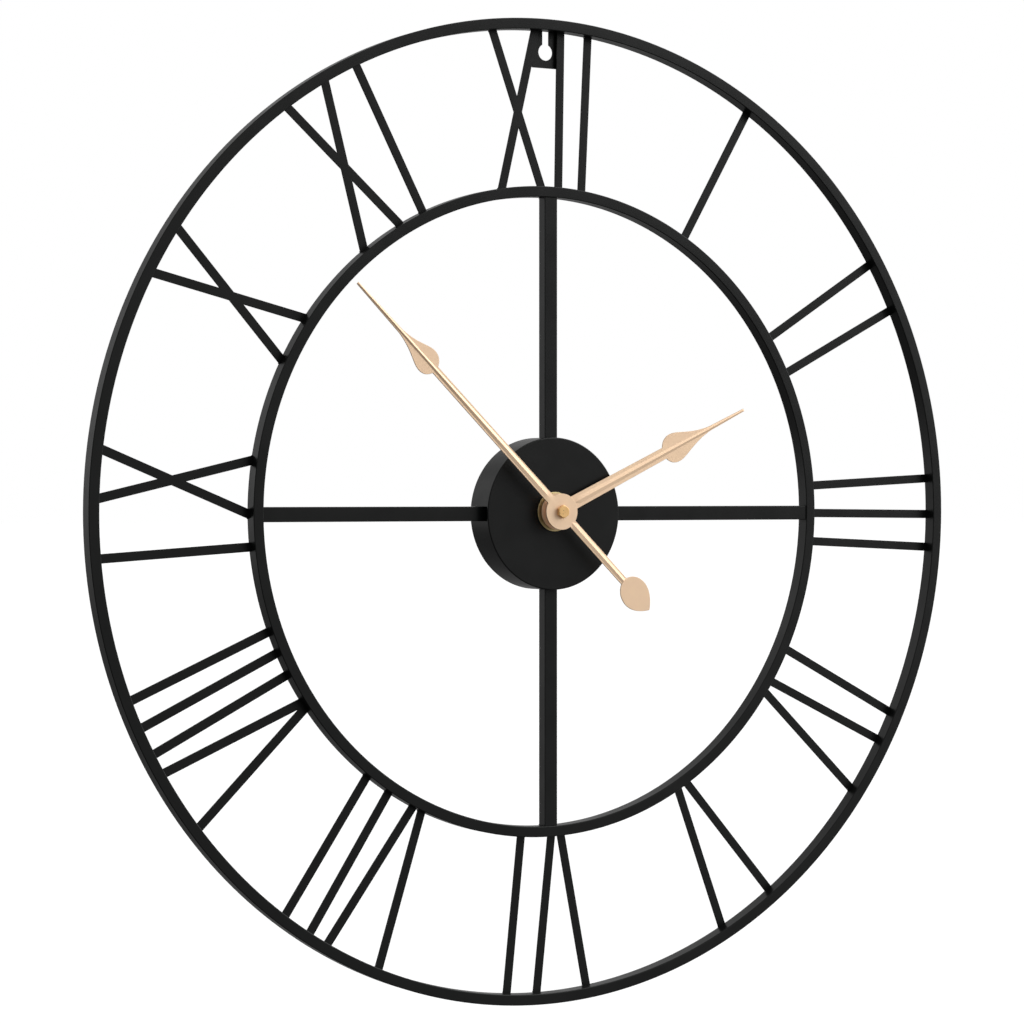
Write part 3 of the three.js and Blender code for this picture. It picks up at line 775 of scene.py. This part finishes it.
def add_cover():
    """The cover, with a slot for each spoke from its rim to the inside of its face."""
    low, high = extent("round_cover")
    reach = radius_of("round_cover") + SLOT_PAST
    front, back = low.y + SHEET, high.y + PAST
    upright_low, upright_high = extent("spoke_top")
    across_low, across_high = extent("spoke_left")
    upright = (upright_low.x, upright_high.x)
    across = (across_low.z, across_high.z)
    shell = round_pan("round_cover", COVER_FACE_EDGE)
    shell = combined(shell, box((upright[0], front, -reach), (upright[1], back, reach)), "DIFFERENCE")
    shell = combined(shell, box((-reach, front, across[0]), (reach, back, across[1])), "DIFFERENCE")
    piece("round_cover_shell", shell, "frame", "powder_coat", ["round_cover"], COVER_EDGE)


def threaded_tube():
    """The bush, with a real thread from its front end to its flange."""
    low, high = extent("threaded_bush")
    flange = radius_of("threaded_bush")
    shank = high.y - BUSH_FLANGE - low.y
    count = round(shank / THREAD_PITCH * THREAD_ROWS)

    def section(angle):
        points = []
        for i in range(count + 1):
            y = low.y + shank * i / count
            turn = (y / THREAD_PITCH - angle / (2 * math.pi)) % 1
            points.append((BUSH_RADIUS - THREAD_DEPTH * abs(2 * turn - 1), y))
        end = low.y + shank
        return points + [(flange, end), (flange, high.y), (BUSH_BORE, high.y), (BUSH_BORE, low.y)]

    return lathe(section, 64)


def hexagon_nut(node, bore, bore_front, chamfered_back):
    """A nut with corners up and down, whose corners are turned off at the front and maybe the back."""
    low, high = extent(node)
    corner = (high.z - low.z) / 2
    face = corner * math.cos(math.pi / 6) * NUT_FACE
    past = corner + NUT_CLEARANCE
    drop = (past - face) * math.tan(math.pi / 6)
    angles = [math.pi / 3 * i for i in range(6)]
    corners = [(corner * math.sin(a), corner * math.cos(a)) for a in angles]
    bar = slab(corners, low.y - PAST, high.y + PAST)
    cone = [(0, low.y), (face, low.y), (past, low.y + drop)]
    cone += [(past, high.y - drop), (face, high.y)] if chamfered_back else [(past, high.y)]
    nut = combined(bar, lathe(cone + [(0, high.y)], 96), "INTERSECT")
    return whole_faces(combined(nut, slab(circle(bore), bore_front, high.y + PAST), "DIFFERENCE"))


def add_hub():
    add_cover()
    pan = round_pan("movement_box", PAN_FACE_EDGE)
    piece("movement_box_pan", pan, "frame", "powder_coat", ["movement_box"])
    piece("threaded_bush_tube", threaded_tube(), "frame", "brass", ["threaded_bush"])
    low, high = extent("bush_washer")
    section = ring_section(BUSH_HOLE, radius_of("bush_washer"), low.y, high.y)
    disc = lathe(rounded(section, WASHER_EDGE))
    washer = piece("bush_washer_disc", disc, "frame", "brass", ["bush_washer"])
    # The washer takes the darker copy of the brass, painted shade for the shade under the bosses of the
    # hands.
    washer.data.materials[0] = MATERIALS["shade_darkened_brass"]
    nut = hexagon_nut("bush_nut", BUSH_HOLE, extent("bush_nut")[0].y - PAST, True)
    piece("bush_nut_faceted", nut, "frame", "brass", ["bush_nut"], NUT_EDGE)
    cap = hexagon_nut("cap_nut", CAP_BORE, CAP_BORE_FRONT, False)
    piece("cap_nut_faceted", cap, "minute_assembly", "brass", ["cap_nut"], NUT_EDGE)


add_hub()


# ---------------------------------------------------------------- movement

CASE_EDGE = 0.35
COLLAR = (7.0, 8.2, 0.5)  # inner and outer radius, and how far it stands out of the case
ARROW = (10.4, 0.9, 0.35)  # radius, width and height of the setting arrow
MARK = (3.4, 0.9, 0.3)  # length, width and height of the polarity marks
MARK_X = 21.5
MARK_Z = -8.3
PANEL = (20, 9, 0.4)  # width, height and relief of the plain raised panel
PANEL_AT = (-12.5, -1.5)
INTO_CASE = 0.2  # how far a raised mark reaches into the case
ARROW_FROM = 150  # degrees clockwise of +Z, to the root of the arrow's head
ARROW_TO = 240
ARROW_STEPS = 24
HEAD_HALF = 1.3  # half the width of the arrow's head, in widths of its shaft
HEAD_TURN = 0.28  # radians from the root of the head to its tip
FLUTES = 30
FLUTE_DEPTH = 0.4
KNOB_BORE = (1.5, 5.5)  # radius, and the depth where it ends
KNOB_DISH = (3.6, 0.3)
CELL_AT = (-1.2, -19.35)  # depth and height of the cell's axis
CAN_RADIUS = 6.95
WRAP_CLEARANCE = 0.02
SPRING_TURNS = 3
SPRING_STEPS = 24  # to a turn
SPRING_WIRE = 0.22
SPRING_RADII = (3.6, 1.6)
SOFT_EDGE = 0.12
SOFT_BEND = 40  # degrees: an edge of a softened node that turns more than this is rounded


def setting_arrow(x, z, back):
    """A curved arrow, clockwise as seen from behind the clock, that stands out of the case."""
    radius, width, height = ARROW
    first, last = math.radians(ARROW_FROM), math.radians(ARROW_TO)
    angles = [first + (last - first) * i / ARROW_STEPS for i in range(ARROW_STEPS + 1)]

    def at(distance, angle):
        return (x + distance * math.sin(angle), z + distance * math.cos(angle))

    outer = [at(radius + width / 2, angle) for angle in angles]
    inner = [at(radius - width / 2, angle) for angle in angles]
    head = [
        at(radius + HEAD_HALF * width, last),
        at(radius, last + HEAD_TURN),
        at(radius - HEAD_HALF * width, last),
    ]
    outlines = (outer + list(reversed(inner)), head)
    return [slab(outline, back - INTO_CASE, back + height) for outline in outlines]


def polarity_marks(back):
    """A plus near one end of the battery bay and a minus near the other."""
    length, width, height = MARK
    near, far = back - INTO_CASE, back + height
    bars = [(MARK_X, length, width), (MARK_X, width, length), (-MARK_X, length, width)]
    return [
        box((x - across / 2, near, MARK_Z - up / 2), (x + across / 2, far, MARK_Z + up / 2))
        for x, across, up in bars
    ]


def add_case():
    back = extent("rear_case")[1].y
    knob = centre_of("set_knob")
    for node in ("front_case", "rear_case"):
        piece(f"{node}_moulding", cad_solid(node), "frame", "case_plastic", [node], CASE_EDGE)
    inner, outer, height = COLLAR
    section = ring_section(inner, outer, back - INTO_CASE, back + height)
    collar = lathe(rounded(section, 0.2), 64, knob.x, knob.z)
    width, tall, relief = PANEL
    x, z = PANEL_AT
    corners = [(x - width / 2, z - tall / 2), (x + width / 2, z - tall / 2)]
    corners += [(x + width / 2, z + tall / 2), (x - width / 2, z + tall / 2)]
    panel = slab(rounded(corners, 1), back - INTO_CASE, back + relief)
    details = [collar, panel] + setting_arrow(knob.x, knob.z, back) + polarity_marks(back)
    piece("rear_case_marks", merged(details), "frame", "case_plastic", (), 0.1)


def add_knob():
    """The fluted knob that sets the hands, dished at the back."""
    low, high = extent("set_knob")
    middle = centre_of("set_knob")
    radius = radius_of("set_knob")
    bore, bore_end = KNOB_BORE
    dish, depth = KNOB_DISH

    def section(angle):
        flute = FLUTE_DEPTH * (0.5 + 0.5 * math.cos(FLUTES * angle)) ** 2
        outer = radius - flute
        return [
            (outer - 0.3, low.y),
            (outer, low.y + 0.3),
            (outer, high.y - 0.4),
            (outer - 0.4, high.y),
            (dish, high.y),
            (dish - depth, high.y - depth),
            (0, high.y - depth),
            (0, bore_end),
            (bore, bore_end),
            (bore, low.y),
        ]

    knob = lathe(section, FLUTES * 8, middle.x, middle.z)
    piece("set_knob_fluted", knob, "setting_assembly", "case_plastic", ["set_knob"])


def add_cell():
    low, high = extent("aa_cell")
    left, right = low.x, high.x
    shoulder = right - 1.2
    wrap_radius = (high.z - low.z) / 2
    can = [
        (0, left),
        (4.4, left),
        (4.8, left + 0.35),
        (6.0, left + 0.35),
        (6.35, left + 0.05),
        (CAN_RADIUS, left + 0.25),
        (CAN_RADIUS, shoulder - 0.3),
        (6.5, shoulder),
        (6.1, shoulder),
        (5.8, shoulder - 0.45),
        (3.4, shoulder - 0.45),
        (2.7, shoulder - 0.1),
        (2.7, right - 0.25),
        (2.4, right),
        (0, right),
    ]
    steel = lying(lathe(rounded(can, [0] + [0.12] * 13 + [0], 2), 64), *CELL_AT)
    piece("aa_cell_can", steel, "cell", "bright_steel", ["aa_cell"])
    inner = CAN_RADIUS + WRAP_CLEARANCE
    sleeve = [
        (wrap_radius, left + 0.45),
        (wrap_radius, shoulder - 0.5),
        (inner, shoulder - 0.32),
        (inner, left + 0.3),
    ]
    wrap = lying(lathe(rounded(sleeve, 0.06, 2), 64), *CELL_AT)
    piece("aa_cell_sleeve", wrap, "cell", "cell_wrap", ["aa_cell"])


def add_contacts():
    """The plate with a dimple for the cell's nub, and the plate with a conical spring."""
    low, high = extent("contact_positive")
    plate = box(low, high)
    dimple = lying(lathe([(0, -0.35), (1.1, -0.3), (2.0, 0.1), (0, 0.1)], 32), *CELL_AT)
    dimple.transform(Matrix.Translation((low.x, 0, 0)))
    positive = merged([plate, dimple])
    piece("contact_positive_plate", positive, "frame", "bright_steel", ["contact_positive"], 0.08)
    front, thickness = low.y, high.x - low.x
    low, high = extent("contact_negative")
    near = low.x + thickness
    plate = box((low.x, front, low.z), (near, high.y, high.z))
    count = SPRING_TURNS * SPRING_STEPS
    points = []
    for i in range(count + 1):
        share = i / count
        radius = SPRING_RADII[0] + (SPRING_RADII[1] - SPRING_RADII[0]) * share
        angle = 2 * math.pi * SPRING_TURNS * share
        x = near + SPRING_WIRE + (high.x - near - 2 * SPRING_WIRE) * share
        y, z = CELL_AT[0] + radius * math.cos(angle), CELL_AT[1] + radius * math.sin(angle)
        points.append(Vector((x, y, z)))
    spring = wire(points, [SPRING_WIRE] * len(points), 8)
    piece("contact_negative_plate", plate, "frame", "bright_steel", ["contact_negative"], 0.08)
    piece("contact_negative_spring", spring, "frame", "bright_steel")


def soften(node, width):
    """Rounds the edges of a CAD node that is shown as it is, once its faces are joined up."""
    weld = NODES[node].modifiers.new("join", "WELD")
    weld.merge_threshold = FLAT_JOIN * MM
    bevel = NODES[node].modifiers.new("edge", "BEVEL")
    bevel.width = width * MM
    bevel.segments = 2
    bevel.limit_method = "ANGLE"
    bevel.angle_limit = math.radians(SOFT_BEND)


add_case()
add_knob()
add_cell()
add_contacts()
for node in ("circuit_board", "stator", "coil_bobbin", "rotor", "cover_spacer"):
    soften(node, SOFT_EDGE)


# ---------------------------------------------------------------- hands

HAND_EDGE = 0.15
RIB_RISE_LENGTH = 2.2
HOLE_STEPS = 32
RIB_LIP = 0.12  # the least flat that a rib leaves at the edge of the hand


def half_width(outline_path, z):
    """The half width at z of an outline path of (half width, z) points, in order of z."""
    for (w0, z0), (w1, z1) in zip(outline_path, outline_path[1:]):
        if z0 <= z <= z1:
            return w0 if z1 == z0 else w0 + (w1 - w0) * (z - z0) / (z1 - z0)
    return outline_path[-1][0]


def pointer_path(shank, bulge, needle, tip):
    """The right side of a spade hand that points along +Z, from the axis to its tip."""
    hub, end, length = shank
    half, at = bulge
    rise = at - length
    fall = needle[1] - at
    points = [Vector((hub, 0)), Vector((end, length))]
    points += bezier(
        Vector((end, length)),
        Vector((0.9 * half, length + 0.25 * rise)),
        Vector((half, length + 0.65 * rise)),
        Vector((half, at)),
        12,
    )
    points += bezier(
        Vector((half, at)),
        Vector((half, at + 0.22 * fall)),
        Vector((0.35 * half, at + 0.45 * fall)),
        Vector(needle),
        20,
    )
    points.append(Vector(tip))
    return points


def leaf_path(shank, start, half, at, tip_half, tip):
    """The right side of the leaf counterweight, with distances from the axis as positive numbers."""
    rise = at - start
    fall = tip - at
    points = [Vector((shank, 0)), Vector((shank, start))]
    points += bezier(
        Vector((shank, start)),
        Vector((0.7 * half, start + 0.15 * rise)),
        Vector((half, start + 0.5 * rise)),
        Vector((half, at)),
        12,
    )
    points += bezier(
        Vector((half, at)),
        Vector((half, at + 0.4 * fall)),
        Vector((0.57 * half, at + 0.75 * fall)),
        Vector((tip_half, tip)),
        16,
    )
    return points


def boss_arc(boss, first, last, steps=28):
    """Points round the right side of the boss from the angle first to last, both from +Z."""
    angles = [first + (last - first) * i / steps for i in range(steps + 1)]
    return [Vector((boss * math.sin(a), boss * math.cos(a))) for a in angles]


def outside(path, boss):
    """The part of a side path that lies outside the boss, and the angle where it leaves it."""
    start = path[0].x
    angle = math.asin(start / boss)
    return [p for p in path if p.y > boss], angle


def rib_rows(path, start, end, widths, slopes, step=3.0):
    """[distance, half width, height] along a rib, which narrows and steepens from start to end."""
    count = max(2, round((end - start) / step))
    rows = []
    for i in range(count + 1):
        z = start + (end - start) * i / count
        rise = min(1, (z - start) / RIB_RISE_LENGTH)
        widest = widths[0] + (widths[1] - widths[0]) * i / count
        half = min(widest, half_width(path, z) - RIB_LIP)
        slope = slopes[0] + (slopes[1] - slopes[0]) * i / count
        rows.append((z, half * max(rise, 0.12), half * slope * rise))
    return rows


def ribbed_sheet(outline, hole, ribs, front, back):
    """A sheet cut to outline with a hole, pressed so that the V ribs stand out of its front."""
    points, edges, heights = [], [], {}

    def add_line(line, closed, height=None):
        first = len(points)
        for i, point in enumerate(line):
            if height:
                heights[len(points)] = height[i]
            points.append(Vector(point))
            if i:
                edges.append((first + i - 1, first + i))
        if closed:
            edges.append((len(points) - 1, first))

    add_line(outline, True)
    add_line(circle(hole, steps=HOLE_STEPS), True)
    for rib in ribs:
        for side in (-1, 1):
            add_line([(side * half, z) for z, half, _ in rib], False)
        add_line([(0, z) for z, _, _ in rib], False, [height for _, _, height in rib])
    verts, _, faces, origins, _, _ = delaunay_2d_cdt(points, edges, [], 4, 1e-5)
    raised = [max([heights.get(i, 0) for i in origin] or [0]) for origin in origins]
    bm = bmesh.new()
    near = [bm.verts.new((v.x, front - h, v.y)) for v, h in zip(verts, raised)]
    far = [bm.verts.new((v.x, back - h, v.y)) for v, h in zip(verts, raised)]
    inside_hole = hole * math.cos(math.pi / HOLE_STEPS)
    for face in faces:
        middle = sum((verts[i] for i in face), Vector((0, 0))) / len(face)
        if middle.length > inside_hole:
            bm.faces.new([near[i] for i in face])
            bm.faces.new([far[i] for i in reversed(face)])
    index = {vertex: i for i, vertex in enumerate(near)}
    rims = [edge for edge in bm.edges if edge.is_boundary and edge.verts[0] in index]
    for edge in rims:
        a, b = (index[v] for v in edge.verts)
        bm.faces.new((near[a], near[b], far[b], far[a]))
    loose = [v for v in bm.verts if not v.link_faces]
    bmesh.ops.delete(bm, geom=loose, context="VERTS")
    bmesh.ops.recalc_face_normals(bm, faces=bm.faces)
    return bm


def turned_hand(bm, degrees):
    """Turns a hand that points up clockwise, as it is seen from the front."""
    bm.transform(Matrix.Rotation(math.radians(degrees), 4, "Y"))
    return bm


MINUTE_POINTER = dict(shank=(2.9, 2.6, 121), bulge=(8, 129), needle=(1.5, 153), tip=(0.8, 192.6))
HOUR_POINTER = dict(shank=(4.25, 3.65, 85), bulge=(9.1, 93.5), needle=(1.4, 122), tip=(0.8, 150.4))
LEAF = dict(shank=2.6, start=61.5, half=9.65, at=72.5, tip_half=0.3, tip=87)
BOSS = 11
HOUR_RIB = dict(start=13.5, end=149.5, widths=(2.4, 0.8), slopes=(0.14, 0.5))
MINUTE_RIB = dict(start=9.5, end=191.5, widths=(2.3, 0.6), slopes=(0.12, 0.85))
TAIL_RIB = dict(start=9.5, end=61, widths=(2.2, 1.6), slopes=(0.14, 0.25))
HOUR_BORE = 3
MINUTE_BORE = 1.7
HOUR_ANGLE = 65  # degrees clockwise of +Z
MINUTE_ANGLE = -46


def add_blade(which, bm):
    """Makes a finished hand a piece that rides on its own assembly."""
    node = f"{which}_hand"
    piece(f"{node}_blade", bm, f"{which}_assembly", "rose_gold", [node], HAND_EDGE, 1, PRESSED)


def add_hour_hand():
    low, high = extent("hour_hand")
    path = pointer_path(**HOUR_POINTER)
    side, angle = outside(path, BOSS)
    right = boss_arc(BOSS, math.pi, angle)[1:] + side
    outline = right + [Vector((-p.x, p.y)) for p in reversed(right)]
    outline.append(Vector((0, -BOSS)))
    rib = rib_rows(path, **HOUR_RIB)
    hand = turned_hand(ribbed_sheet(outline, HOUR_BORE, [rib], low.y, high.y), HOUR_ANGLE)
    add_blade("hour", hand)


def add_minute_hand():
    low, high = extent("minute_hand")
    path = pointer_path(**MINUTE_POINTER)
    side, angle = outside(path, BOSS)
    leaf = leaf_path(**LEAF)
    leaf_side, leaf_angle = outside(leaf, BOSS)
    tail = [Vector((p.x, -p.y)) for p in reversed(leaf_side)]
    right = tail + boss_arc(BOSS, math.pi - leaf_angle, angle) + side
    outline = right + [Vector((-p.x, p.y)) for p in reversed(right)]
    rib = rib_rows(path, **MINUTE_RIB)
    tail_rib = [(-z, half, height) for z, half, height in rib_rows(leaf, **TAIL_RIB)]
    ribs = [rib, tail_rib]
    hand = turned_hand(ribbed_sheet(outline, MINUTE_BORE, ribs, low.y, high.y), MINUTE_ANGLE)
    add_blade("minute", hand)


add_hour_hand()
add_minute_hand()
